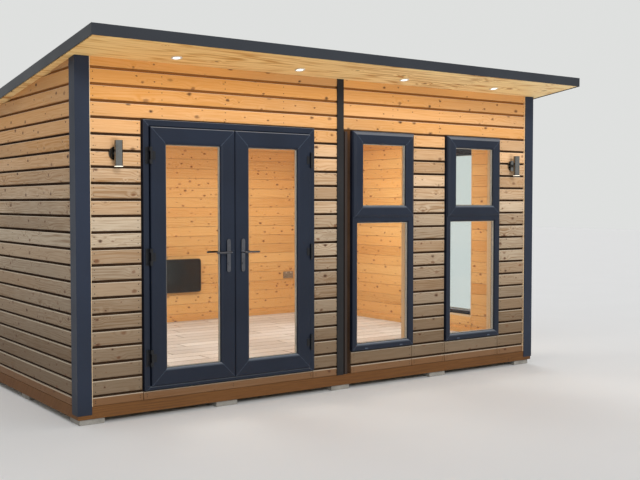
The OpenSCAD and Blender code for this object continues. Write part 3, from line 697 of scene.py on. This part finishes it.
# Outside boards. A wall is the two ends of its boards, the depth of their face and the turn that
# faces them outwards.
edgeX = pod["endX"] - pod["postIn"]
sideLow, sideHigh = pod["front"] + pod["postIn"], pod["back"] - pod["postIn"]
walls = dict(
    front=(-edgeX, edgeX, pod["front"], 0),
    back=(-edgeX, edgeX, -pod["back"], math.pi),
    right=(sideLow, sideHigh, -pod["endX"], math.pi / 2),
    left=(-sideHigh, -sideLow, -pod["endX"], -math.pi / 2))
cladding = dict(
    pitch=2.093 / 17, groove=0.020, depth=0.020, endGap=0.010, joint=0.003, chamfer=0.008, rows=21,
    backRows=17)


def claddingCourses(count):
    half = cladding["groove"] / 2
    lines = [pod["deckTop"] + i * cladding["pitch"] for i in range(count)]
    return [(pod["skinLow"], lines[0] - half)] + [
        (z + half, z + cladding["pitch"] - half) for z in lines]


stripGap = (pod["stripX"], windowHoles[0][0], pod["skinLow"], pod["head"])
boardsOf = {}
for wall, rows, openings, joints in [
    ("front", cladding["rows"], [doorHole, stripGap] + windowHoles, [pod["stripX"]]),
    ("back", cladding["backRows"], [], [-pod["stripX"]]),
    ("right", cladding["rows"], [sideHole], []),
    ("left", cladding["rows"], [], []),
]:
    low, high, face, turn = walls[wall]
    boardsOf[wall] = boardPlaces(low, high, claddingCourses(rows), openings, joints,
                                 cladding["endGap"], cladding["joint"])
    boards = layBoards(wall + "Boards", boardsOf[wall], face, cladding["depth"], turn,
                       cladding["chamfer"])
    finish(paint(boards, claddingTimber), "cladding_timber", wall + "_cladding")

# Slim beads between the boards and the corner posts, and the strip beside the first window, made
# dark as painted shade.
bead = dict(wide=0.007, deep=0.018, chamfer=0.002, top=2.78)
parts = []
for low, high, face, turn in walls.values():
    spans = [(low, low + bead["wide"], pod["skinLow"], bead["top"]),
             (high - bead["wide"], high, pod["skinLow"], bead["top"])]
    parts.append(layBoards("bead", spans, face, bead["deep"], turn, bead["chamfer"], 2, 2))
edgeBeads = joined(parts, "edgeBeads")
finish(paint(edgeBeads, palePine), "cladding_timber")
stripEdge = dict(left=0.033, right=0.062, top=2.296, setBack=0.002, deep=0.017)
spans = [(stripEdge["left"], stripEdge["right"], pod["skinLow"], stripEdge["top"])]
face = pod["front"] + stripEdge["setBack"]
edgeStrip = layBoards("edgeStrip", spans, face, stripEdge["deep"], 0, bead["chamfer"], 2, 2)
finish(paint(edgeStrip, shadedStripTimber), "cladding_timber")

# Nail heads, two at each end of a board and at the studs between.
nails = dict(
    head=0.0040, high=0.003, proud=0.0007, rim=0.0012, sunk=0.0005, fromEnd=0.028, fromEdge=0.024,
    studs=0.62, slimBoard=0.06, underRoof=0.02)


def nailPlaces(boards, face):
    found = []
    for left, right, bottom, top in boards:
        first, last = left + nails["fromEnd"], right - nails["fromEnd"]
        bays = max(1, round((last - first) / nails["studs"]))
        rows = [bottom + nails["fromEdge"], top - nails["fromEdge"]]
        if top - bottom <= nails["slimBoard"]:
            rows = [(bottom + top) / 2]
        found += [(first + (last - first) * i / bays, face, z)
                  for i in range(bays + 1) for z in rows]
    return found


def nailWall(wall):
    face, turn = walls[wall][2:]
    kept = []
    for board in boardsOf[wall]:  # boards that the slope cuts short get none
        lowEnd = {"front": pod["front"], "back": pod["back"], "right": board[1], "left": -board[0]}
        if soffitHeight(lowEnd[wall]) - nails["underRoof"] > board[3]:
            kept.append(board)
    head = rod("nail", nails["head"], (0, -nails["proud"], 0), (0, nails["high"], 0), 8)
    insetFaces(head, 1, -1, (nails["rim"], -nails["sunk"]))
    return setDown(spread(head, nailPlaces(kept, face), "nails"), turn=(0, 0, turn))


nailHeads = joined([nailWall(wall) for wall in walls], "nailHeads")
finish(paint(nailHeads, galvanised), "steel")
print("cladding laid")

# Inside boards.
lining = dict(pitch=0.1165, joint=0.002, depth=0.0148, chamfer=0.0036, rows=22, pastRoom=0.015)
liningX = pod["roomX"] + lining["pastRoom"]
courses = [(pod["deckTop"] + i * lining["pitch"],
            pod["deckTop"] + (i + 1) * lining["pitch"] - lining["joint"])
           for i in range(lining["rows"])]


def turned(holes):
    return [(-right, -left, bottom, top) for left, right, bottom, top in holes]


for wall, low, high, openings, face, turn in [
    ("back", -liningX, liningX, [], pod["roomBack"], 0),
    ("front", -liningX, liningX, turned([doorHole] + windowHoles), -pod["roomFront"], math.pi),
    ("left", pod["roomFront"], pod["roomBack"], [], pod["roomX"], math.pi / 2),
    ("right", -pod["roomBack"], -pod["roomFront"], turned([sideHole]), pod["roomX"], -math.pi / 2),
]:
    places = boardPlaces(low, high, courses, openings, [], 0, lining["joint"])
    boards = layBoards(wall + "Lining", places, face, lining["depth"], turn, lining["chamfer"], 1)
    finish(paint(boards, liningPine), "lining_pine", wall + "_lining")

# The ceiling boards are drawn level, then turned to the slope of the roof about its front line.
ceiling = dict(depth=0.0112, bevel=0.0035, narrowest=0.02)
low = (pod["roomFront"] - pod["front"] - lining["pastRoom"]) / slope
high = (pod["roomBack"] - pod["front"] + lining["pastRoom"]) / slope
boards = []
while low < high - ceiling["narrowest"]:
    end = min(low + lining["pitch"] - lining["joint"], high)
    boards.append(block("ceilingBoards", (-liningX, low, 0), (liningX, end, ceiling["depth"])))
    low += lining["pitch"]
ceilingBoards = joined(boards, "ceilingBoards")
numberBoards(ceilingBoards)
bevelFaces(ceilingBoards, 2, -1, ceiling["bevel"], 1)
setDown(ceilingBoards, (0, pod["front"], pod["soffitFront"]), roofLean)
layGrain(ceilingBoards, 0)
finish(paint(ceilingBoards, liningPine), "lining_pine", "ceiling_lining")

# Laminate planks run along the room, each row started with an offcut, and one lies in the doorway.
laminate = dict(
    wide=0.192, long=1.285, joint=0.0008, bevel=0.0038, underlay=0.006,
    starts=(0.0, 0.52, 0.95, 0.31, 1.11, 0.68), offcut=0.01, sillIn=0.0505, sillEnd=0.001)
joint, under = laminate["joint"], pod["deckTop"] + laminate["underlay"]
planks, row, y = [], 0, pod["roomFront"]
while y < pod["roomBack"] - laminate["offcut"]:
    x = -pod["roomX"] - laminate["starts"][row % len(laminate["starts"])]
    far = min(y + laminate["wide"], pod["roomBack"])
    while x < pod["roomX"]:
        left, right = max(x, -pod["roomX"]), min(x + laminate["long"], pod["roomX"])
        if right - left > laminate["offcut"]:
            planks.append(block("plank", (left + joint, y + joint, under),
                                (right - joint, far - joint, pod["floorTop"])))
        x += laminate["long"]
    row, y = row + 1, y + laminate["wide"]
end, y = laminate["sillEnd"], pod["front"] + laminate["sillIn"]
planks.append(block("plank", (doorHole[0] + end, y, under),
                    (doorHole[1] - end, pod["roomFront"], pod["floorTop"])))
floorPlanks = joined(planks, "floorPlanks")
numberBoards(floorPlanks)
bevelFaces(floorPlanks, 2, 1, laminate["bevel"], 1)
layGrain(floorPlanks, 0)
finish(paint(floorPlanks, laminateOak), "laminate", "floor_finish")
print("lining laid")

# Pieces that keep the CAD's shape, with eased edges. A last number is the way of the grain.
for node, name, material, slot, width, *along in [
    ("corner_posts", "cornerPosts", postGrey, "anthracite", 0.002),
    ("cover_strips", "coverStrips", stripGrey, "anthracite", 0.0015),
    ("door_hinge_pins", "hingePins", hingeBlack, "anthracite", 0.0008),
    ("window_handles", "windowHandles", darkChrome, "anthracite", 0.0012),
    ("roof_edge_trims", "roofTrims", trimGrey, "trim_metal", 0.001),
    ("roof_corner_caps", "roofCaps", trimGrey, "trim_metal", 0.001),
    ("wall_lights", "wallLights", stainless, "steel", 0.0012),
    ("foundation_pads", "pads", concrete, "concrete", 0.006),
    ("plinth_boards", "plinthBoards", plinthTimber, "cladding_timber", 0.003, 0),
    ("floor_bearers", "bearers", frameTimber, "frame_timber", 0.002, 1),
    ("floor_deck", "floorDeck", frameTimber, "frame_timber", 0.001, 0),
    ("skirting", "skirting", liningPine, "lining_pine", 0.003, 0),
    ("reveal_linings", "revealLinings", palePine, "lining_pine", 0.0015, 2),
    ("roof_deck", "roofDeck", frameTimber, "frame_timber", 0.001, 0),
]:
    piece = paint(soften(copyNode(node, name), width), material)
    for axis in along:
        layGrain(piece, axis)
    if node == "floor_deck":  # its edge shows in the lowest gap between the boards
        piece.data.materials.append(grooveShade)
        for face in piece.data.polygons:
            face.material_index = 0 if abs(face.normal.z) > 0.7 else 1
    finish(piece, slot, node)

for side in ("front_wall_left", "front_wall_over_door", "front_wall_right", "left_wall",
             "right_wall", "back_wall"):
    paint(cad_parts[side], grooveShade)

# Mitred frames, sashes and leaves. Each reach is as far as the mitre runs from the corner.
toRoom, fromRight = Vector((0, 1, 0)), Vector((-1, 0, 0))
joinery = dict(
    doorReach=0.055, frameReach=0.062, sashReach=0.104, leafReach=0.132, underSill=0.022,
    sashIn=0.008, sashTall=0.770, leafZ=(0.245, 2.250), leftX=(-1.855, -1.1125),
    rightX=(-1.1075, -0.365), ease=0.0012)
windows = [  # node, name, opening, way in, turn, lower left outer corner of the frame and height
    ("window_1", "window1", windowHoles[0], toRoom, 0, (0.105, -1.6225, 0.337), 1.968),
    ("window_2", "window2", windowHoles[1], toRoom, 0, (1.238, -1.6225, 0.337), 1.968),
    ("side_window", "sideWindow", sideHole, fromRight, math.pi / 2, (2.460, -0.8775, 0.420), 1.885),
]
left, right, sill, head = doorHole
mitred = [("door_frame", "doorFrame", "building", joinery["doorReach"], toRoom,
           fourCorners(left, right, sill - joinery["underSill"], head))]
for node, name, hole, inward, turn, spot, tall in windows:
    left, right, sill, head = hole
    mitred.append((node + "_frame", name + "Frame", "building", joinery["frameReach"], inward,
                   fourCorners(*hole)))
    mitred.append((node + "_sash", name + "Sash", "building", joinery["sashReach"], inward,
                   fourCorners(left + joinery["sashIn"], right - joinery["sashIn"],
                               head - joinery["sashTall"], head - joinery["sashIn"])))
for side in ("left", "right"):
    mitred.append((side + "_door_leaf", side + "Leaf", side + "_door", joinery["leafReach"], toRoom,
                   fourCorners(*joinery[side + "X"], *joinery["leafZ"])))
for node, name, body, reach, inward, corners in mitred:
    piece = paint(soften(copyNode(node, name), joinery["ease"]), anthracite, weldGrey)
    finish(mitre(piece, corners, reach, inward), "anthracite", node, body=body)

# Each handle plate reaches further below its lever than above it.
handlePlate = dict(
    height=1.266, halfWide=0.03, straight=0.1025, above=-0.012, below=-0.042, ease=0.0012,
    leverEase=0.001, hingeWide=0.1)
for side, hinge, lever in (("left", -1.8575, -1.1775), ("right", -0.3625, -1.0425)):
    piece = copyNode(side + "_door_fittings", side + "Fittings")
    for way, shift in ((1, handlePlate["above"]), (-1, handlePlate["below"])):
        pick(piece, "VERT", lambda spot: abs(spot.co.x - lever) < handlePlate["halfWide"]
             and (spot.co.z - handlePlate["height"]) * way > handlePlate["straight"])
        bpy.ops.transform.translate(value=(0, 0, shift))
        backToObject()
    paint(soften(piece, handlePlate["ease"]), darkChrome, hingeBlack)
    for face in piece.data.polygons:
        face.material_index = 1 if abs(face.center.x - hinge) < handlePlate["hingeWide"] else 0
    finish(piece, "steel", side + "_door_fittings", body=side + "_door")
    piece = soften(copyNode(side + "_door_lever", side + "Lever"), handlePlate["leverEase"])
    finish(paint(piece, darkChrome), "steel", side + "_door_lever", body=side + "_lever")
print("main pieces dressed")

# Soffit sheets, with a joint in the canopy and a paler sheet to its right.
sheets = dict(joint=1.312, gap=0.005, ease=0.0012)
leftSheet = copyNode("soffit", "soffitSheets")
rightSheet = copyOf(leftSheet, "soffitRight")
for sheet, way, material in ((leftSheet, 1, soffitPly), (rightSheet, -1, soffitPale)):
    cutAway(sheet, (sheets["joint"] - way * sheets["gap"] / 2, 0, 0), (way, 0, 0))
    soften(paint(sheet, material), sheets["ease"])
    layGrain(sheet, 0)
finish(joined([leftSheet, rightSheet], "soffitSheets"), "soffit_ply", "soffit")

# Sealed glass units: two panes, a pale spacer between them and a gasket along the lip.
glazing = dict(
    pane=0.004, spacerIn=0.005, spacerWide=0.0125, gasketIn=0.0102, gasketWide=0.003,
    gasketOut=0.002, arris=0.0006)
unitParts = (("Panes", "clear_glass"), ("Spacers", "trim_metal"), ("Gaskets", "roof_rubber"))


def paneOf(name, low, high):
    sheet = block(name, low, high)
    bevelEdges(sheet, glazing["arris"], 1, deepOnly=False)
    return sheet


def sealedUnit(name, low, high):
    (x0, y0, z0), (x1, y1, z1) = low, high
    y2, y3 = y0 + glazing["pane"], y1 - glazing["pane"]
    panes = joined([paneOf(name, low, (x1, y2, z1)), paneOf(name, (x0, y3, z0), high)], name)
    s, g = glazing["spacerIn"], glazing["gasketIn"]
    spacer = ring(name + "Spacer", (x0 + s, y2, z0 + s), (x1 - s, y3, z1 - s),
                  glazing["spacerWide"])
    gasket = ring(name + "Gasket", (x0 + g, y0 - glazing["gasketOut"], z0 + g),
                  (x1 - g, y0, z1 - g), glazing["gasketWide"])
    return paint(panes, paneGlass), paint(spacer, spacerGrey), paint(gasket, gasketBlack)


# Sizes from the frame's lower left corner, and those with Down in their name from its head.
windowGlass = dict(
    sashX=(0.100, 0.615), sashY=(-0.002, 0.026), sashDown=(0.678, 0.100), fixedX=(0.050, 0.665),
    fixedY=(0.020, 0.048), fixedLow=0.050, fixedDown=0.805)
weep = dict(
    wide=0.715, places=(0.22, 0.79), long=0.034, high=0.009, deep=0.004, z=0.016, into=0.0004,
    corner=0.004, ease=0.0012)
for node, name, hole, inward, turn, spot, tall in windows:
    (x0, x1), (y0, y1), (z0, z1) = (windowGlass[key] for key in ("sashX", "sashY", "sashDown"))
    sash = sealedUnit("pane", (x0, y0, tall - z0), (x1, y1, tall - z1))
    (x0, x1), (y0, y1) = windowGlass["fixedX"], windowGlass["fixedY"]
    fixed = sealedUnit("pane", (x0, y0, windowGlass["fixedLow"]),
                       (x1, y1, tall - windowGlass["fixedDown"]))
    for pair, (suffix, slot) in zip(zip(sash, fixed), unitParts):
        piece = setDown(joined(list(pair), name + suffix), spot, (0, 0, turn))
        finish(piece, slot, *([node + "_glass"] if suffix == "Panes" else []))
    caps = []
    for share in weep["places"]:
        x = weep["wide"] * share
        cap = block("cap", (x - weep["long"] / 2, -weep["deep"], weep["z"] - weep["high"] / 2),
                    (x + weep["long"] / 2, weep["into"], weep["z"] + weep["high"] / 2))
        bevelEdges(cap, weep["corner"], 4)
        caps.append(soften(cap, weep["ease"], 1))
    piece = setDown(joined(caps, name + "WeepCaps"), spot, (0, 0, turn))
    finish(paint(piece, weldGrey), "anthracite")

for side in ("left", "right"):
    low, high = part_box(side + "_door_glass")
    for piece, (suffix, slot) in zip(sealedUnit(side + "Door", low, high), unitParts):
        piece.name = side + "Door" + suffix
        nodes = [side + "_door_glass"] if suffix == "Panes" else []
        finish(piece, slot, *nodes, body=side + "_door")
print("glazing set")

# Soffit downlights: a bezel with a sunk lens.
downlight = dict(
    radius=0.043, deep=0.006, rim=(0.012, 0), sunk=(0.0015, -0.004), ease=0.0015, lens=0.0285,
    lensZ=(-0.0035, -0.0018), dome=((0.009, 0.0008), (0.009, 0.0004)), firstX=-1.700, across=3.400,
    fromWall=0.175, gap=0.0003)
bezel = rod("bezel", downlight["radius"], (0, 0, -downlight["deep"]), (0, 0, 0), 40)
insetFaces(bezel, 2, -1, downlight["rim"], downlight["sunk"])
soften(bezel, downlight["ease"])
lens = rod("lens", downlight["lens"], *((0, 0, z) for z in downlight["lensZ"]))
insetFaces(lens, 2, -1, *downlight["dome"])
makeActive(lens)
bpy.ops.object.shade_smooth_by_angle(angle=math.radians(40))
y = pod["front"] - downlight["fromWall"]
places = [(downlight["firstX"] + i * downlight["across"] / 3, y, soffitHeight(y) - downlight["gap"])
          for i in range(4)]
for piece, name, material, nodes in ((bezel, "downlightBezels", whitePlastic, ["downlights"]),
                                     (lens, "downlightLenses", downLens, [])):
    paint(setDown(piece, turn=roofLean), material)
    finish(spread(piece, places, name), "white_plastic", *nodes)

# Lenses of the wall lights: a rimmed disc over the lower end of the tube, a sunk one in the upper.
# Each is a radius and how far out from the tube's end it starts.
wallLamp = dict(
    x=(-2.133, 2.133), y=pod["front"] - 0.072, z=2.037, half=0.0965, thick=0.004,
    lower=(0.0325, 0.0), upper=(0.0275, -0.007), rim=(0.004, -0.0010), ease=0.0008)
discs = []
for x in wallLamp["x"]:
    for way, (radius, out) in ((-1, wallLamp["lower"]), (1, wallLamp["upper"])):
        start = wallLamp["z"] + way * (wallLamp["half"] + out)
        end = start + way * wallLamp["thick"]
        disc = rod("disc", radius, (x, wallLamp["y"], start), (x, wallLamp["y"], end))
        insetFaces(disc, 2, way, wallLamp["rim"])
        discs.append(soften(disc, wallLamp["ease"], 1))
finish(paint(joined(discs, "wallLightLenses"), wallLens), "white_plastic")

# Panel heater: a glass sheet with round corners on two mounts.
heater = dict(
    low=(-0.185, 1.8605, 0.592), high=(0.455, 1.8885, 0.992), corner=0.032, edge=0.003,
    mountX=(-0.057, 0.263), mountWide=0.064, mountZ=(0.692, 0.892), mountEdge=0.002)
panel = block("heaterPanel", heater["low"], heater["high"])
bevelEdges(panel, heater["corner"], 8)
finish(paint(soften(panel, heater["edge"], 3), blackGlass), "black_glass", "panel_heater")
low, high = heater["mountZ"]
mounts = [block("mount", (x, heater["high"][1], low),
                (x + heater["mountWide"], pod["roomBack"], high)) for x in heater["mountX"]]
mounts = soften(joined(mounts, "heaterMounts"), heater["mountEdge"])
finish(paint(mounts, whitePlastic), "black_glass")

# Double socket: plate, two rockers and the pin holes. Rockers and holes are half a width, how far
# out and in from the plate's face, and two heights.
socket = dict(
    low=(1.675, 1.8985, 0.694), high=(1.821, 1.9125, 0.780), corner=0.006, edge=0.0018,
    gangs=(1.7115, 1.7845), apart=0.011, rocker=(0.0065, 0.003, 0.001, 0.757, 0.773),
    rockerEdge=0.001, earth=(0.0025, 0.0004, 0.0006, 0.735, 0.744),
    pin=(0.0035, 0.0004, 0.0006, 0.714, 0.7185), holeEdge=0.0003)
plate = block("socketPlate", socket["low"], socket["high"])
bevelEdges(plate, socket["corner"], 4)
finish(paint(soften(plate, socket["edge"]), socketMetal), "white_plastic", "wall_socket")


def onPlate(x, kind):
    half, out, into, low, high = socket[kind]
    face = socket["low"][1]
    return block(kind, (x - half, face - out, low), (x + half, face + into, high))


rockers = [onPlate(x, "rocker") for x in socket["gangs"]]
holes = [onPlate(x + way * socket["apart"], "pin" if way else "earth")
         for x in socket["gangs"] for way in (0, -1, 1)]
rockers = soften(joined(rockers, "socketRockers"), socket["rockerEdge"])
finish(paint(rockers, whitePlastic), "white_plastic")
holes = soften(joined(holes, "socketHoles"), socket["holeEdge"], 1)
finish(paint(holes, gasketBlack), "black_glass")

# Roof membrane, with two lapped seams down the slope.
roofing = dict(edge=0.0012, seams=(-0.84, 0.84), wide=0.075, high=0.0014, ease=0.0009, short=0.13)
membrane = soften(copyNode("roof_membrane", "roofMembrane"), roofing["edge"])
finish(paint(membrane, roofRubber), "roof_rubber", "roof_membrane")
low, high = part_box("roof_membrane")
start = roofing["short"]
end = start + (high.y - low.y) / slope - roofing["short"] * 2
laps = []
for x in roofing["seams"]:
    lap = block("lap", (x - roofing["wide"] / 2, start, 0),
                (x + roofing["wide"] / 2, end, roofing["high"]))
    bevelFaces(lap, 2, 1, roofing["ease"], 2)
    laps.append(lap)
laps = setDown(joined(laps, "roofSeams"), (0, low.y, high.z), roofLean)
finish(paint(laps, roofLap), "roof_rubber")
print("fittings made")

# Floor, lights and camera.
stageLook = dict(
    floor=(240, 239, 237), mottle=(237, 236, 234), sky=(0.93, 0.95, 0.98, 1), skyLevel=0.55,
    seen=(0.735, 0.745, 0.735, 1))
bpy.ops.object.select_all(action="DESELECT")
bpy.ops.mesh.primitive_plane_add(size=90)
ground = bpy.context.object
ground.name = "paleFloor"
floorPaint, tree = fresh("floorPaint")
shade = mixed(tree, cloudy(tree, objectSpot(tree), 1.3), tint(*stageLook["floor"]),
              tint(*stageLook["mottle"]))
cover(tree, {"Base Color": shade, "Roughness": 0.9})
paint(ground, floorPaint)
ground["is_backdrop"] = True

world = bpy.data.worlds.new("studio")
bpy.context.scene.world = world
world.use_nodes = True
world.node_tree.nodes.clear()
tree = world.node_tree
ray = put(tree, "LightPath").outputs
seen = maths(tree, "ADD", ray["Is Camera Ray"], ray["Is Transmission Ray"], clamp=True)
seen = maths(tree, "ADD", seen, ray["Is Glossy Ray"], clamp=True)
lit = put(tree, "Background", {"Color": stageLook["sky"], "Strength": stageLook["skyLevel"]})
plain = put(tree, "Background", {"Color": stageLook["seen"], "Strength": 1.0})
both = put(tree, "MixShader", {0: seen, 1: lit.outputs[0], 2: plain.outputs[0]}).outputs[0]
put(tree, "OutputWorld", {"Surface": both})

lamps = [  # name, kind, strength, place, aim and size
    ("keySun", "SUN", 1.48, (-1.6, -9.5, 6.1), (0, 0, 1.2), dict(angle=math.radians(18))),
    ("backSun", "SUN", 0.7, (4.5, 9.0, 5.5), (0, 0, 1.2), dict(angle=math.radians(40))),
    ("lowFill", "AREA", 18.5, (0, -9.5, 0.2), (0, -1.6, 2.45),
     dict(shape="RECTANGLE", size=7.0, size_y=0.3, spread=math.radians(30))),
]
for x in (-1.15, 1.15):
    lamps += [("roomLamp", "AREA", 16.0, (x, 0.25, 2.30), (x, 0.25, 0),
               dict(shape="RECTANGLE", size=1.6, size_y=2.2)),
              ("roomFill", "POINT", 31.0, (x, 0.0, 1.75), (x, 0, 0), dict(shadow_soft_size=0.35))]
lamps.append(("topFill", "AREA", 2.6, (0, -1.95, 2.70), (0, -1.95, 0),
              dict(shape="RECTANGLE", size=4.6, size_y=0.25)))
for name, kind, strength, spot, aim, options in lamps:
    lamp = bpy.data.lights.new(name, kind)
    lamp.energy = strength
    for key, value in options.items():
        setattr(lamp, key, value)
    holder = bpy.data.objects.new(name, lamp)
    bpy.context.scene.collection.objects.link(holder)
    holder.location = spot
    holder.rotation_euler = (Vector(aim) - Vector(spot)).to_track_quat("-Z", "Y").to_euler()
    if kind != "SUN":
        holder.visible_camera = holder.visible_transmission = False
        holder.visible_glossy = name == "topFill"

# The camera stands where the photo was taken from.
view = dict(spot=(-5.0432, -8.3749, 1.6668), lens=53.6856, yaw=35.359, pitch=2.2372, roll=0.0015)
yaw, pitch, roll = (math.radians(view[key]) for key in ("yaw", "pitch", "roll"))
camera = bpy.data.objects.new("camera", bpy.data.cameras.new("camera"))
bpy.context.scene.collection.objects.link(camera)
camera.data.lens = view["lens"]
camera.data.sensor_width = 36
camera.matrix_world = (Matrix.Translation(view["spot"]) @ Matrix.Rotation(-yaw, 4, "Z")
                       @ Matrix.Rotation(math.pi / 2 - pitch, 4, "X")
                       @ Matrix.Rotation(roll, 4, "Z"))
bpy.context.scene.camera = camera
bpy.context.scene.view_settings.view_transform = "Standard"

low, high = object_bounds()
{"cad": [list(cadLow), list(cadHigh)], "visual": [list(low), list(high)]}
